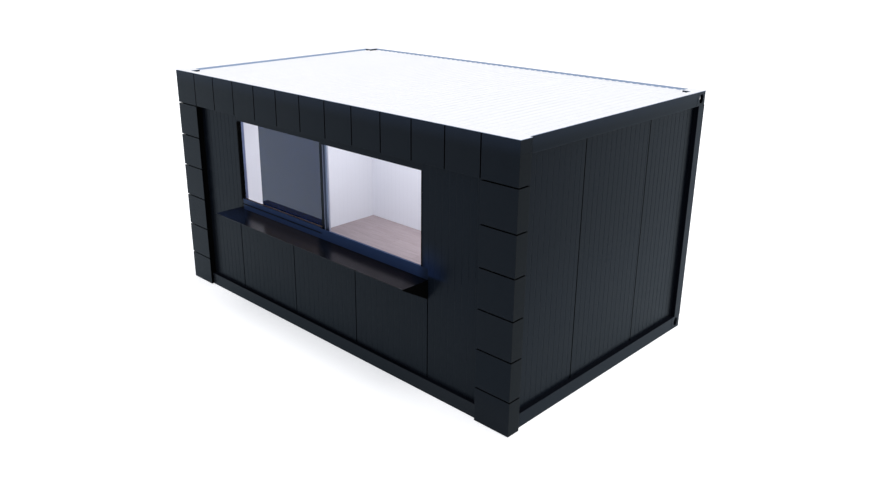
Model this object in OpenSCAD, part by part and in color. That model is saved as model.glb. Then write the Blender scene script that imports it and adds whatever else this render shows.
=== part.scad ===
// Sales container: a steel-framed cabin with sandwich panel walls, a tiled front,
// a serving window and a counter. The long side with the window faces -Y.

/* [Frame] */
// Length of the steel frame
frame_length = 5000; // [4800:10:5400]
// Width of the steel frame, front to back
frame_width = 3000; // [2800:10:3200]
// Height of the cabin from the ground to the roof caps
frame_height = 2600; // [2540:10:2800]
// Height of the base rails, of the roof rails and of the corner castings
rail_height = 140; // [136:1:150]
// Width of the square corner posts
post_width = 116; // [106:1:130]
// Wall thickness of the rails and posts
steel_wall = 5; // [3:0.5:8]
// Width of the outer flange of the front and back rails
long_flange = 40; // [30:1:60]
// Width of the outer flange of the end rails
end_flange = 74; // [50:1:90]

/* [Corner castings] */
// Casting size along the length of the cabin
casting_length = 170; // [150:1:178]
// Casting size along the width of the cabin
casting_width = 165; // [150:1:178]
// Thickness of the casting walls
casting_wall = 10; // [8:1:14]
// Radius of the outer upright edge of a casting
casting_radius = 12; // [6:1:14]
// Width of the oblong openings
slot_width = 70; // [56:1:76]
// Height of the upright openings in the two outer faces
slot_height = 96; // [80:1:98]
// Length of the opening in the top or bottom face
slot_length = 110; // [90:1:118]
// Height of the upright openings above the middle of the casting
slot_raise = 3; // [0:1:4]

/* [Walls] */
// Thickness of the sandwich panels
panel_thickness = 65; // [60:1:70]
// Open joint between two panels
panel_joint = 12; // [8:1:14]
// Distance between the fine lines pressed into the panels
line_pitch = 79; // [70:1:90]
// Width of a fine line
line_width = 7; // [5:0.5:9]
// Depth of a fine line
line_depth = 1; // [0.6:0.1:2]
// Thickness of the tongue along a panel edge
tongue_thickness = 20; // [16:1:24]
// Reach of the tongue into the next panel
tongue_reach = 10; // [8:1:14]
// Clearance round the tongue
tongue_clearance = 0.5; // [0.3:0.1:1]
// Module width of the front and back panels
long_panel_width = 1000; // [960:10:1040]
// Module width of the end wall panels
end_panel_width = 1058; // [1000:1:1100]
// Depth of the front and back panels behind the frame face
long_recess = 40; // [36:1:46]
// Depth of the end panels behind the frame face
end_recess = 41; // [36:1:46]
// Thickness of the inner lining
lining_thickness = 12; // [10:1:15]

/* [Floor and roof] */
// Height of the floor surface above the ground
floor_level = 157; // [154:1:180]
// Thickness of the floor covering
covering_thickness = 12; // [8:1:13]
// Thickness of the floor panel
floor_thickness = 120; // [100:1:125]
// Thickness of the roof caps
cap_thickness = 4; // [3:0.5:5]
// Depth of the roof ribs below the top of the caps
roof_drop = 16; // [12:1:20]
// Thickness of the roof sheet
sheet_thickness = 8; // [6:1:10]
// Height of the roof ribs
rib_height = 5; // [3:0.5:7]
// Distance between the roof ribs
rib_pitch = 84; // [70:1:110]
// Width of a roof rib at its top
rib_top = 20; // [14:1:26]
// Width of a roof rib at its foot
rib_foot = 38; // [30:1:46]

/* [Cladding] */
// Depth of the tiles in front of the frame
tile_front = 30; // [26:1:36]
// Depth of the corner tiles outside the end of the frame
tile_side = 30; // [26:1:36]
// Number of tiles across the front
tile_count = 13; // [11:1:15]
// Height of the fascia
fascia_height = 383; // [360:1:400]
// Height of one row of column tiles
tile_row = 376; // [365:1:385]
// Open joint between tiles
tile_joint = 12; // [8:1:14]
// Sheet thickness of the folded tiles
tile_sheet = 3; // [2:0.5:4]
// Clearance between the lowest tiles and the ground
tile_clearance = 4; // [2:1:10]

/* [Serving window] */
// Height of the counter top and of the foot of the window
window_foot = 1133; // [1050:1:1200]
// Distance of the window from the left end of the counter bay
window_margin_left = 58; // [30:1:80]
// Distance of the window from the right end of the counter bay
window_margin_right = 68; // [40:1:100]
// Width of the window jambs
jamb_width = 18; // [14:1:40]
// Height of the window head
head_height = 83; // [60:1:95]
// Height of the rebate in the head in front of the pane
head_rebate = 14; // [8:1:20]
// Height of the window sill under the pane
sill_height = 79; // [70:1:90]
// Height of the lip along the front of the sill
lip_height = 30; // [24:1:36]
// Thickness of the lip
lip_thickness = 10; // [8:1:14]
// Rise of the lip in front of the pane
lip_step = 12; // [8:1:16]
// Width of the mullion
mullion_width = 44; // [36:1:50]
// Depth of the mullion
mullion_depth = 14; // [10:1:18]
// Distance of the mullion behind the wall face
mullion_recess = 26; // [20:1:30]
// Thickness of the sliding pane
pane_thickness = 8; // [6:1:10]
// Reach of the pane into the guide slot of the head
pane_reach = 12; // [8:1:16]
// Clearance of the pane in its guide slot
pane_clearance = 1; // [0.5:0.5:2]
// Gap at the left of the sliding pane
pane_gap = 336; // [250:1:420]
// Reach of the sliding pane beyond the middle of the window
pane_overlap = 76; // [64:1:90]
// Width of the upright stile at the right end of the pane
stile_width = 62; // [50:1:66]
// Thickness of the stile
stile_thickness = 20; // [16:1:22]
// Width of the groove down the face of the stile
stile_groove = 12; // [8:1:16]
// Depth of the groove down the face of the stile
stile_groove_depth = 7; // [4:1:10]
// Distance of the groove from the mullion
stile_groove_shift = 13; // [8:1:18]
// Height of the track rail in front of the pane
track_height = 40; // [36:1:46]
// Width of the track rail
track_width = 4; // [3:1:6]
// Width of the groove along the front of the sill
groove_width = 8; // [6:1:12]
// Depth of the groove along the front of the sill
groove_depth = 12; // [8:1:16]
// Height of the groove above the foot of the window
groove_height = 58; // [50:1:62]

/* [Counter] */
// Reach of the counter past its bay of panels at each end
counter_overhang = 2.5; // [1:0.5:20]
// Depth of the counter from the wall to its front edge
counter_depth = 313; // [260:1:360]
// Height of the turned-down back edge of the counter
counter_hem = 30; // [20:1:40]
// Sheet thickness of the counter
counter_sheet = 4; // [3:0.5:5]
// Height of the triangular brackets at the wall
bracket_height = 190; // [150:5:220]
// Thickness of the brackets
bracket_thickness = 14; // [10:1:20]
// Height of the brackets at their front tip
bracket_tip = 6; // [4:1:12]

/* [Hidden] */
half_length = frame_length / 2;
counter_reach = counter_depth - long_recess;
total_depth = frame_width + counter_reach;
front_face = counter_reach - total_depth / 2;
back_face = total_depth / 2;
middle = (front_face + back_face) / 2;

front_wall_out = front_face + long_recess;
front_wall_in = front_wall_out + panel_thickness;
back_wall_out = back_face - long_recess;
back_wall_in = back_wall_out - panel_thickness;
end_wall_out = half_length - end_recess;
end_wall_in = end_wall_out - panel_thickness;
end_wall_front = max(front_wall_in, front_face + post_width);
end_wall_back = min(back_wall_in, back_face - post_width);
post_x = half_length - post_width;
room_x = min(end_wall_in, post_x);
room_front = max(front_wall_in + lining_thickness, front_face + post_width);
room_back = min(back_wall_in - lining_thickness, back_face - post_width);
casting_x = half_length - casting_length;

frame_top = frame_height - cap_thickness;
roof_rail_foot = frame_top - rail_height;
roof_top = frame_height - roof_drop;
sheet_top = roof_top - rib_height;
sheet_foot = sheet_top - sheet_thickness;
sheet_x = half_length - end_flange - cap_thickness;
sheet_front = front_face + long_flange + cap_thickness;
sheet_back = back_face - long_flange - cap_thickness;
floor_panel_top = floor_level - covering_thickness;

tile_face = front_face - tile_front;
tile_end = half_length + tile_side;
tile_pitch = 2 * tile_end / tile_count;
tile_back = front_face + post_width;
fascia_foot = frame_height - fascia_height;
tile_rows = round((fascia_foot - tile_clearance) / tile_row);
column_x = tile_end - tile_pitch + tile_joint / 2;

bay_x = 1.5 * long_panel_width;
counter_x = bay_x + counter_overhang;
window_left = window_margin_left - bay_x;
window_right = bay_x - window_margin_right;
window_middle = (window_left + window_right) / 2;
opening_left = window_left + jamb_width;
opening_right = window_right - jamb_width;
window_top = fascia_foot;
sill_top = window_foot + sill_height;
lip_top = sill_top + lip_height;
head_foot = window_top - head_height;
window_in = front_wall_in + lining_thickness;
mullion_face = front_wall_out + mullion_recess;
mullion_back = mullion_face + mullion_depth;
mullion_left = window_middle - mullion_width / 2;
pane_left = opening_left + pane_gap;
stile_right = window_middle + pane_overlap;
stile_left = stile_right - stile_width;
counter_front = front_wall_out - counter_depth;

cut = 1;
arc_detail = 48;

frame_colour = [0.10, 0.11, 0.13];
panel_colour = [0.17, 0.19, 0.22];
tile_colour = [0.13, 0.15, 0.18];
roof_colour = [0.96, 0.97, 0.98];
lining_colour = [0.90, 0.90, 0.92];
floor_colour = [0.62, 0.57, 0.55];
window_colour = [0.09, 0.14, 0.26];
track_colour = [0.33, 0.27, 0.24];
pane_colour = [0.30, 0.33, 0.40];
stile_colour = [0.55, 0.57, 0.63];
counter_colour = [0.04, 0.04, 0.06];

// A box between two opposite corners
module block(low, high) {
    translate(low) cube(high - low);
}

// Places a piece made for the front at the back
module at_back() {
    translate([0, 2 * middle, 0]) mirror([0, 1, 0]) children();
}

// Places a piece made for the right end at the left end
module at_left() {
    mirror([1, 0, 0]) children();
}

// Places a piece made for the base at the roof
module at_roof() {
    translate([0, 0, frame_top]) mirror([0, 0, 1]) children();
}

// Places a piece made for the front right corner at all four corners
module at_corners() {
    children();
    at_left() children();
    at_back() children();
    at_back() at_left() children();
}

// An upright oblong opening through a face that looks along X
module oblong(length, width, depth) {
    straight = length - width;
    rotate([0, 90, 0]) linear_extrude(depth) {
        square([straight, width], center = true);
        for (end = [-1, 1]) translate([end * straight / 2, 0]) circle(d = width, $fn = arc_detail);
    }
}

// Plan of a casting, with its outer upright edge rounded
module casting_plan() {
    centre = [half_length - casting_radius, front_face + casting_radius];
    difference() {
        translate([casting_x, front_face]) square([casting_length, casting_width]);
        translate([centre.x, front_face - cut]) square([casting_radius + cut, casting_radius + cut]);
    }
    translate(centre) circle(casting_radius, $fn = arc_detail);
}

// Hollow corner casting at the front right foot of the frame
module corner_casting() {
    hole_depth = casting_wall + 2 * cut;
    centre_x = half_length - casting_length / 2;
    centre_y = front_face + casting_width / 2;
    slot_z = rail_height / 2 + slot_raise;
    difference() {
        linear_extrude(rail_height) casting_plan();
        block([casting_x + casting_wall, front_face + casting_wall, casting_wall],
            [half_length - casting_wall, front_face + casting_width - casting_wall,
             rail_height - casting_wall]);
        translate([half_length - casting_wall - cut, centre_y, slot_z])
            oblong(slot_height, slot_width, hole_depth);
        translate([centre_x, front_face - cut, slot_z])
            rotate([0, 0, 90]) oblong(slot_height, slot_width, hole_depth);
        translate([centre_x, centre_y, casting_wall + cut])
            rotate([0, 90, 0]) oblong(slot_length, slot_width, hole_depth);
    }
}

// Channel section of a rail with its web at zero, open towards the room:
// a narrow outer flange at the ground and a wide ledge under the wall panels
module rail_section(ledge, flange) {
    difference() {
        square([ledge, rail_height]);
        translate([steel_wall, steel_wall]) square([ledge, rail_height - 2 * steel_wall]);
        translate([flange, -cut]) square([ledge, steel_wall + 2 * cut]);
    }
}

// Front base rail: a channel between the castings
module long_rail() {
    translate([-casting_x, front_face, 0])
        rotate([90, 0, 90]) linear_extrude(2 * casting_x)
            rail_section(front_wall_in - front_face, long_flange);
}

// Right base rail: a channel between the castings
module end_rail() {
    translate([half_length, front_face + casting_width, 0])
        rotate([90, 0, 180]) linear_extrude(frame_width - 2 * casting_width)
            rail_section(half_length - end_wall_in, end_flange);
}

// Front right corner post: a square tube between the castings
module corner_post() {
    inner = post_width - 2 * steel_wall;
    translate([post_x, front_face, rail_height]) linear_extrude(frame_top - 2 * rail_height)
        difference() {
            square(post_width);
            translate([steel_wall, steel_wall]) square(inner);
        }
}

module base_rail_front() color(frame_colour) long_rail();
module base_rail_back() color(frame_colour) at_back() long_rail();
module base_rail_left() color(frame_colour) at_left() end_rail();
module base_rail_right() color(frame_colour) end_rail();
module roof_rail_front() color(frame_colour) at_roof() long_rail();
module roof_rail_back() color(frame_colour) at_roof() at_back() long_rail();
module roof_rail_left() color(frame_colour) at_roof() at_left() end_rail();
module roof_rail_right() color(frame_colour) at_roof() end_rail();
module base_corner_castings() color(frame_colour) at_corners() corner_casting();
module roof_corner_castings() color(frame_colour) at_roof() at_corners() corner_casting();
module corner_post_front_left() color(frame_colour) at_left() corner_post();
module corner_post_front_right() color(frame_colour) corner_post();
module corner_post_back_left() color(frame_colour) at_back() at_left() corner_post();
module corner_post_back_right() color(frame_colour) at_back() corner_post();

// Cuts the corners of a slab away round the castings
module clear_of_castings(low, high) {
    difference() {
        children();
        at_corners()
            block([casting_x, front_face, low - cut], [half_length, front_face + casting_width, high + cut]);
    }
}

// Cuts the corners of a piece away round the posts
module clear_of_posts() {
    difference() {
        children();
        at_corners() block([post_x, front_face, 0], [half_length, front_face + post_width, frame_top]);
    }
}

// A slab over the whole room between two heights
module room_slab(low, high) {
    clear_of_castings(low, high)
        block([-end_wall_in, front_wall_in, low], [end_wall_in, back_wall_in, high]);
}

module floor_panel() color(frame_colour) room_slab(floor_panel_top - floor_thickness, floor_panel_top);

module floor_covering() {
    color(floor_colour) clear_of_posts()
        block([-end_wall_in, front_wall_in, floor_panel_top], [end_wall_in, back_wall_in, floor_level]);
}

module ceiling_panel() color(lining_colour) room_slab(roof_rail_foot, sheet_foot);

// Ribs of the roof sheet, running from the front to the back
module roof_ribs() {
    count = floor((sheet_x - rib_foot) / rib_pitch);
    for (i = [-count:count])
        translate([i * rib_pitch, sheet_back, sheet_top])
            rotate([90, 0, 0]) linear_extrude(sheet_back - sheet_front)
                polygon([[-rib_foot / 2, 0], [rib_foot / 2, 0],
                    [rib_top / 2, rib_height], [-rib_top / 2, rib_height]]);
}

module roof_sheet() {
    color(roof_colour) clear_of_castings(sheet_foot, roof_top) {
        block([-sheet_x, sheet_front, sheet_foot], [sheet_x, sheet_back, sheet_top]);
        roof_ribs();
    }
}

// Cap along the front roof rail: an angle with its upstand at the edge of the roof sheet,
// and a plate over the casting at each end
module long_cap() {
    block([-half_length, front_face, frame_top], [half_length, sheet_front, frame_height]);
    block([-casting_x, sheet_front - cap_thickness, sheet_foot], [casting_x, sheet_front, frame_height]);
    for (left = [-half_length, casting_x])
        translate([left, front_face, frame_top]) cube([casting_length, casting_width, cap_thickness]);
}

// Front cap, which also covers the tiles and the corner tiles at both ends
module roof_cap_front() {
    color(roof_colour) {
        long_cap();
        block([-tile_end, tile_face, frame_top], [tile_end, front_face, frame_height]);
        block([-tile_end, tile_face, frame_top], [-half_length, tile_back, frame_height]);
        block([half_length, tile_face, frame_top], [tile_end, tile_back, frame_height]);
    }
}

module roof_cap_back() color(roof_colour) at_back() long_cap();

// Cap along the right roof rail, between the plates over the castings
module end_cap() {
    front = front_face + casting_width;
    back = back_face - casting_width;
    block([sheet_x, front, frame_top], [half_length, back, frame_height]);
    block([sheet_x, front, sheet_foot], [sheet_x + cap_thickness, back, frame_height]);
}

module roof_cap_left() color(roof_colour) at_left() end_cap();
module roof_cap_right() color(roof_colour) end_cap();

// Outline of a sandwich panel seen from above: fine lines on the outer face at zero,
// a slot along its left edge and a tongue along its right edge where another panel follows
function panel_outline(left, right, first_line, slotted, tongued) =
    let (middle_depth = panel_thickness / 2,
         slot_half = tongue_thickness / 2 + tongue_clearance,
         tongue_half = tongue_thickness / 2,
         slot_end = left + tongue_reach + tongue_clearance,
         tongue_end = right + panel_joint + tongue_reach,
         lines = [for (u = [first_line:line_pitch:right - line_width]) if (u > left + line_width) u])
    concat(
        [[left, 0]],
        [for (u = lines) each [[u - line_width / 2, 0], [u, line_depth], [u + line_width / 2, 0]]],
        [[right, 0]],
        tongued ? [[right, middle_depth - tongue_half], [tongue_end, middle_depth - tongue_half],
                   [tongue_end, middle_depth + tongue_half], [right, middle_depth + tongue_half]] : [],
        [[right, panel_thickness], [left, panel_thickness]],
        slotted ? [[left, middle_depth + slot_half], [slot_end, middle_depth + slot_half],
                   [slot_end, middle_depth - slot_half], [left, middle_depth - slot_half]] : []);

// One sandwich panel between two heights
module sandwich_panel(left, right, first_line, low, high, slotted, tongued) {
    translate([0, 0, low]) linear_extrude(high - low)
        polygon(panel_outline(left, right, first_line, slotted, tongued));
}

// Run of panels between neighbouring edges, joined by their tongues with open joints outside
module panel_run(edges, low, high) {
    gap = panel_joint / 2;
    last = len(edges) - 2;
    for (i = [0:last])
        sandwich_panel(edges[i] + (i > 0 ? gap : 0), edges[i + 1] - (i < last ? gap : 0),
            edges[i] + line_pitch, low, high, i > 0, i < last);
}

// Left front wall panel, cut back to the window above the counter
module front_panel_left() {
    gap = panel_joint / 2;
    color(panel_colour) translate([0, front_wall_out, 0]) {
        sandwich_panel(-post_x, -bay_x - gap, line_pitch - post_x, rail_height, window_foot, false, true);
        sandwich_panel(-post_x, window_left, line_pitch - post_x, window_foot, roof_rail_foot, false, false);
    }
}

// Right front wall panel, cut back to the sill and to the window above the counter
module front_panel_right() {
    gap = panel_joint / 2;
    first_line = window_right + line_pitch;
    color(panel_colour) translate([0, front_wall_out, 0]) {
        sandwich_panel(bay_x + gap, post_x, first_line, rail_height, window_foot, true, false);
        sandwich_panel(counter_x, post_x, first_line, window_foot, lip_top, false, false);
        sandwich_panel(window_right, post_x, first_line, lip_top, roof_rail_foot, false, false);
    }
}

// Three panels under the window, with the joints to the panels beside them
module front_panels_below_window() {
    gap = panel_joint / 2;
    color(panel_colour) translate([0, front_wall_out, 0])
        for (i = [-1:1]) {
            left = (i - 0.5) * long_panel_width;
            sandwich_panel(left + gap, left + long_panel_width - gap, left + line_pitch,
                rail_height, window_foot, true, true);
        }
}

module front_panel_over_window() {
    color(panel_colour) translate([0, front_wall_out, 0])
        sandwich_panel(window_left, window_right, window_left + line_pitch, window_top, roof_rail_foot,
            false, false);
}

module back_wall_panels() {
    edges = [-post_x, -bay_x, bay_x - 2 * long_panel_width, bay_x - long_panel_width, bay_x, post_x];
    color(panel_colour) at_back() translate([0, front_wall_out, 0])
        panel_run(edges, rail_height, roof_rail_foot);
}

// Three panels of the right end wall
module end_panels() {
    half = end_panel_width / 2;
    edges = [end_wall_front, middle - half, middle + half, end_wall_back];
    translate([end_wall_out, 0, 0]) rotate([0, 0, 90]) panel_run(edges, rail_height, roof_rail_foot);
}

module left_wall_panels() color(panel_colour) at_left() end_panels();
module right_wall_panels() color(panel_colour) end_panels();

// Front lining with the window cut through it
module lining_front() {
    color(lining_colour) difference() {
        block([-room_x, front_wall_in, floor_level], [room_x, window_in, roof_rail_foot]);
        block([window_left, front_wall_in - cut, window_foot], [window_right, window_in + cut, window_top]);
    }
}

module lining_back() {
    color(lining_colour)
        block([-room_x, back_wall_in - lining_thickness, floor_level],
            [room_x, back_wall_in, roof_rail_foot]);
}

module end_lining() {
    block([end_wall_in - lining_thickness, room_front, floor_level],
        [end_wall_in, room_back, roof_rail_foot]);
}

module lining_left() color(lining_colour) at_left() end_lining();
module lining_right() color(lining_colour) end_lining();

// Board that carries the fascia tiles under the roof rail
module fascia_backing() {
    color(frame_colour)
        block([-column_x, front_face, fascia_foot], [column_x, front_wall_out, roof_rail_foot]);
}

// Board that carries the right column of tiles beside the post
module column_backing() {
    block([column_x, front_face, rail_height], [post_x, front_wall_out, roof_rail_foot]);
}

module left_column_backing() color(frame_colour) at_left() column_backing();
module right_column_backing() color(frame_colour) column_backing();

// Folded tray tile between two places along X, open at its back
module tray(left, right, low, high) {
    difference() {
        block([left, tile_face, low], [right, front_face, high]);
        block([left + tile_sheet, tile_face + tile_sheet, low + tile_sheet],
            [right - tile_sheet, front_face + cut, high - tile_sheet]);
    }
}

module fascia_tiles() {
    color(tile_colour)
        for (i = [1:tile_count - 2])
            tray(i * tile_pitch - tile_end + tile_joint / 2, (i + 1) * tile_pitch - tile_end - tile_joint / 2,
                fascia_foot + tile_joint / 2, frame_top);
}

// Folded corner tile that wraps round the right end of the frame
module corner_tile(low, high) {
    difference() {
        union() {
            block([column_x, tile_face, low], [tile_end, front_face, high]);
            block([half_length, tile_face, low], [tile_end, tile_back, high]);
        }
        block([column_x + tile_sheet, tile_face + tile_sheet, low + tile_sheet],
            [tile_end - tile_sheet, front_face + cut, high - tile_sheet]);
        block([half_length - cut, tile_face + tile_sheet, low + tile_sheet],
            [tile_end - tile_sheet, tile_back - tile_sheet, high - tile_sheet]);
    }
}

// Right column: the end tile of the fascia and the rows under it
module column_tiles() {
    corner_tile(fascia_foot + tile_joint / 2, frame_top);
    for (row = [0:tile_rows - 1]) {
        row_top = fascia_foot - row * tile_row;
        row_foot = row < tile_rows - 1 ? row_top - tile_row + tile_joint / 2 : tile_clearance;
        corner_tile(row_foot, row_top - tile_joint / 2);
    }
}

module left_column_tiles() color(tile_colour) at_left() column_tiles();
module right_column_tiles() color(tile_colour) column_tiles();

module window_jambs() {
    color(window_colour)
        for (left = [window_left, opening_right])
            block([left, front_wall_out, lip_top], [left + jamb_width, window_in, head_foot]);
}

// Head with a rebate over the pane side and in front of the mullion,
// and the guide slot of the pane in its underside
module window_head() {
    color(window_colour) difference() {
        block([window_left, front_wall_out, head_foot], [window_right, window_in, window_top]);
        block([opening_left, front_wall_out - cut, head_foot - cut],
            [mullion_left, mullion_back, head_foot + head_rebate]);
        block([mullion_left - cut, front_wall_out - cut, head_foot - cut],
            [mullion_left + mullion_width, mullion_face, head_foot + head_rebate]);
        block([opening_left, mullion_back - pane_clearance, head_foot - cut],
            [opening_right, mullion_back + pane_thickness + pane_clearance,
             head_foot + pane_reach + pane_clearance]);
    }
}

// Section of the sill across the wall, with the lip that stands up along its front
module sill_section(lip) {
    square([window_in - front_wall_out, sill_height]);
    square([lip_thickness, sill_height + lip]);
}

// Sill with its lip, solid under the jambs and out to the right end of the counter,
// with a higher lip and a groove in front of the pane
module window_sill() {
    groove_foot = window_foot + groove_height;
    color(window_colour) difference() {
        union() {
            translate([window_left, front_wall_out, window_foot]) rotate([90, 0, 90])
                linear_extrude(window_right - window_left) sill_section(lip_height);
            translate([opening_left, front_wall_out, window_foot]) rotate([90, 0, 90])
                linear_extrude(mullion_left - opening_left) sill_section(lip_height + lip_step);
            for (left = [window_left, opening_right])
                block([left, front_wall_out, sill_top], [left + jamb_width, window_in, lip_top]);
            block([window_right, front_wall_out, window_foot], [counter_x, front_wall_in, lip_top]);
        }
        block([opening_left, front_wall_out - cut, groove_foot],
            [mullion_left, front_wall_out + groove_depth, groove_foot + groove_width]);
    }
}

module window_mullion() {
    color(window_colour)
        block([mullion_left, mullion_face, sill_top],
            [mullion_left + mullion_width, mullion_back, head_foot]);
}

// Low rail that guides the foot of the pane on the left half
module pane_track() {
    color(track_colour)
        block([opening_left, mullion_back - track_width, sill_top],
            [mullion_left, mullion_back, sill_top + track_height]);
}

// Tinted pane that stands on the sill behind the mullion and reaches into the head
module sliding_pane() {
    color(pane_colour)
        block([pane_left, mullion_back, sill_top],
            [stile_left, mullion_back + pane_thickness, head_foot + pane_reach]);
}

// Upright profile at the right end of the pane, with a groove down its face beside the mullion
module pane_stile() {
    groove_left = mullion_left + mullion_width + stile_groove_shift;
    color(stile_colour) translate([0, mullion_back, sill_top]) linear_extrude(head_foot - sill_top)
        difference() {
            translate([stile_left, 0]) square([stile_width, stile_thickness]);
            translate([groove_left, -cut]) square([stile_groove, stile_groove_depth + cut]);
        }
}

// Counter of folded sheet with its back edge turned down against the wall
module counter_shelf() {
    color(counter_colour)
        translate([-counter_x, counter_front, window_foot])
            rotate([90, 0, 90]) linear_extrude(2 * counter_x) {
                translate([0, -counter_sheet]) square([counter_depth, counter_sheet]);
                translate([counter_depth - counter_sheet, -counter_hem]) square([counter_sheet, counter_hem]);
            }
}

// Triangular brackets that close both ends of the counter and stand under its top
module counter_brackets() {
    top = window_foot - counter_sheet;
    hem_foot = window_foot - counter_hem;
    back = front_wall_out - counter_sheet;
    color(counter_colour)
        for (left = [-counter_x, counter_x - bracket_thickness])
            translate([left, 0, 0]) rotate([90, 0, 90]) linear_extrude(bracket_thickness)
                polygon([[counter_front, top], [back, top], [back, hem_foot], [front_wall_out, hem_foot],
                    [front_wall_out, window_foot - bracket_height], [counter_front, top - bracket_tip]]);
}

base_rail_front();
base_rail_back();
base_rail_left();
base_rail_right();
base_corner_castings();
corner_post_front_left();
corner_post_front_right();
corner_post_back_left();
corner_post_back_right();
roof_corner_castings();
roof_rail_front();
roof_rail_back();
roof_rail_left();
roof_rail_right();
floor_panel();
floor_covering();
ceiling_panel();
roof_sheet();
roof_cap_front();
roof_cap_back();
roof_cap_left();
roof_cap_right();
front_panel_left();
front_panel_right();
front_panels_below_window();
front_panel_over_window();
back_wall_panels();
left_wall_panels();
right_wall_panels();
lining_front();
lining_back();
lining_left();
lining_right();
fascia_backing();
left_column_backing();
right_column_backing();
fascia_tiles();
left_column_tiles();
right_column_tiles();
window_jambs();
window_head();
window_sill();
window_mullion();
pane_track();
sliding_pane();
pane_stile();
counter_shelf();
counter_brackets();
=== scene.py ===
# %% [markdown]
# A sales container is a steel frame of rails, posts and corner castings, filled with
# sandwich panels and dressed at the front with dark folded tiles. The construction comes
# packed from the CAD source at its real size, so this lesson only finishes the surfaces,
# adds the fine trim, and sets the light and the camera.

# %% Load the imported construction
import math
import random
import bpy
from mathutils import Matrix, Vector


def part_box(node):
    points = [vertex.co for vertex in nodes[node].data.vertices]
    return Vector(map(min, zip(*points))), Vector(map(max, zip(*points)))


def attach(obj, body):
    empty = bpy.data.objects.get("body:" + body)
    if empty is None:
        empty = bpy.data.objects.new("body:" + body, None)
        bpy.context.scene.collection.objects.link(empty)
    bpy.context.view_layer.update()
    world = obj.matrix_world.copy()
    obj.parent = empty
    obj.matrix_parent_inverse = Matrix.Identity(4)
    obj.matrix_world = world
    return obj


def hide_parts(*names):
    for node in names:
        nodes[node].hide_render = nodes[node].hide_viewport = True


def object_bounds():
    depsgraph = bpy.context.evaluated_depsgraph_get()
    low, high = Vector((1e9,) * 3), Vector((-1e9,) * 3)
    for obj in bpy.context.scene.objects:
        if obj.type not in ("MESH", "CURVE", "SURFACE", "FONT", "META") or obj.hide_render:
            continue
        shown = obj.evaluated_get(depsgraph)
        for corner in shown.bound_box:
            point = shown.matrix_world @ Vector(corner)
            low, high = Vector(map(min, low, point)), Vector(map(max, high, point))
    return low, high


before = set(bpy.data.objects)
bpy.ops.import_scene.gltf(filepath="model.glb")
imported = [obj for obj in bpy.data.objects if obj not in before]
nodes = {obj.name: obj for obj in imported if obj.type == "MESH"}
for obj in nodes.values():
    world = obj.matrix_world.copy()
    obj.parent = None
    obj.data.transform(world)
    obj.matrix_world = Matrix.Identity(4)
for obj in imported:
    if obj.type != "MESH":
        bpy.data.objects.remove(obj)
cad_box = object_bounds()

print(len(nodes), "pieces from the CAD source, box", [tuple(round(v, 3) for v in c) for c in cad_box])

# %% [markdown]
# A finish is a small graph of shader nodes. The nodes could be wired one by one, but that
# hides the idea, so a socket is wrapped in a class that knows arithmetic. The expression
# 1 - mask then adds its own Math node, and a vector gets a Vector Math node instead.

# %% Arithmetic on a socket
class Field:
    """One shader output that can be used in plain arithmetic."""

    def __init__(self, graph, socket):
        self.graph = graph
        self.socket = socket

    def combine(self, operation, first, second=0.0):
        kind = "ShaderNodeVectorMath" if self.socket.type == "VECTOR" else "ShaderNodeMath"
        return self.graph.node(kind, {"operation": operation}, {0: first, 1: second})

    def __add__(self, other):
        return self.combine("ADD", self, other)

    def __radd__(self, other):
        return self.combine("ADD", other, self)

    def __sub__(self, other):
        return self.combine("SUBTRACT", self, other)

    def __rsub__(self, other):
        return self.combine("SUBTRACT", other, self)

    def __mul__(self, other):
        return self.combine("MULTIPLY", self, other)

    def __rmul__(self, other):
        return self.combine("MULTIPLY", other, self)

    def __truediv__(self, other):
        return self.combine("DIVIDE", self, other)

    def __rtruediv__(self, other):
        return self.combine("DIVIDE", other, self)

    def __abs__(self):
        return self.combine("ABSOLUTE", self)

    def larger(self, other):
        return self.combine("MAXIMUM", self, other)

    def floor(self):
        return self.combine("FLOOR", self)

    def along(self, letter):
        return self.graph.node("ShaderNodeSeparateXYZ", None, {0: self}, out=letter)


print("sockets take part in arithmetic")

# %% [markdown]
# Every other node comes from one method, which takes the kind of node, its settings and
# what goes into its sockets. The settings come first, because some of them change which
# sockets a node has. Colours are blended by Mix nodes: a Math node would turn them grey.

# %% Graphs of nodes
class Graph:
    """A node tree, filled by one method that adds any node and links what goes into it."""

    def __init__(self, tree):
        self.tree = tree
        self.tree.nodes.clear()

    def feed(self, node, sockets):
        for key, value in sockets.items():
            socket = node.inputs[key]
            if isinstance(value, Field):
                self.tree.links.new(value.socket, socket)
            elif hasattr(socket.default_value, "__len__") and not hasattr(value, "__len__"):
                socket.default_value = [value] * len(socket.default_value)
            else:
                socket.default_value = value

    def node(self, kind, settings=None, sockets=None, out=0):
        made = self.tree.nodes.new(kind)
        for key, value in (settings or {}).items():
            setattr(made, key, value)
        self.feed(made, sockets or {})
        return Field(self, made.outputs[out]) if made.outputs else made

    def mix(self, factor, first, second, blend="MIX"):
        settings = {"data_type": "RGBA", "blend_type": blend}
        return self.node("ShaderNodeMix", settings, {0: factor, 6: first, 7: second}, out=2)


print("graphs ready")

# %% [markdown]
# A finish is a graph with one Principled shader at its end. Dust, wear and shade lie over
# a coating like further coats, so a finish remembers its colour so far, and tint lays the
# next colour over it where a mask is one. Masks come from the place on the part, which
# the object coordinates give in metres, and from the way a face looks.

# %% Finishes
def grey(level):
    return (level, level, level, 1.0)


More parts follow.
